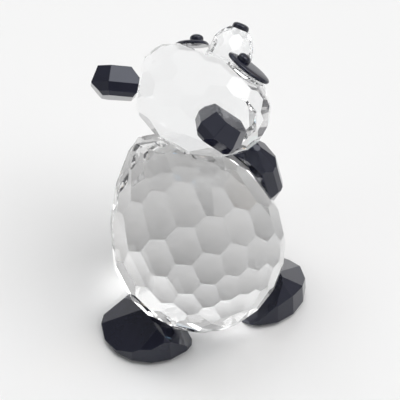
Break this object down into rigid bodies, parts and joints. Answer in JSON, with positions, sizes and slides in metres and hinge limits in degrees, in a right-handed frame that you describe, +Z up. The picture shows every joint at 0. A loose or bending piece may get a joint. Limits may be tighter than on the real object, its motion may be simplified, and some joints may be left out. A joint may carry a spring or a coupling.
{
  "type": "faceted crystal panda figurine",
  "caption": "Small seated panda of clear faceted crystal with black ears, eye patches, nose, arms and legs; stands on its two legs and rump.",
  "frame": {"origin": "middle of the footprint box, at table height", "axes": "+Z up; the panda's chest faces -Y, so its right side is on -X; its head is turned to its right"},
  "size_m": [0.0378, 0.0384, 0.0461],
  "materials": {
    "clear_crystal": "clear cut crystal, polished flat facets",
    "black_crystal": "opaque black cut crystal, polished flat facets"
  },
  "bodies": {
    "root": {"body": "clear_crystal", "head": "clear_crystal", "snout": "clear_crystal", "nose": "black_crystal", "ear_left": "black_crystal", "ear_right": "black_crystal", "eye_patch_left": "black_crystal", "eye_patch_right": "black_crystal", "eye_left": "black_crystal", "eye_right": "black_crystal", "arm_left": "black_crystal", "arm_right": "black_crystal", "leg_left": "black_crystal", "leg_right": "black_crystal"}
  },
  "joints": []
}
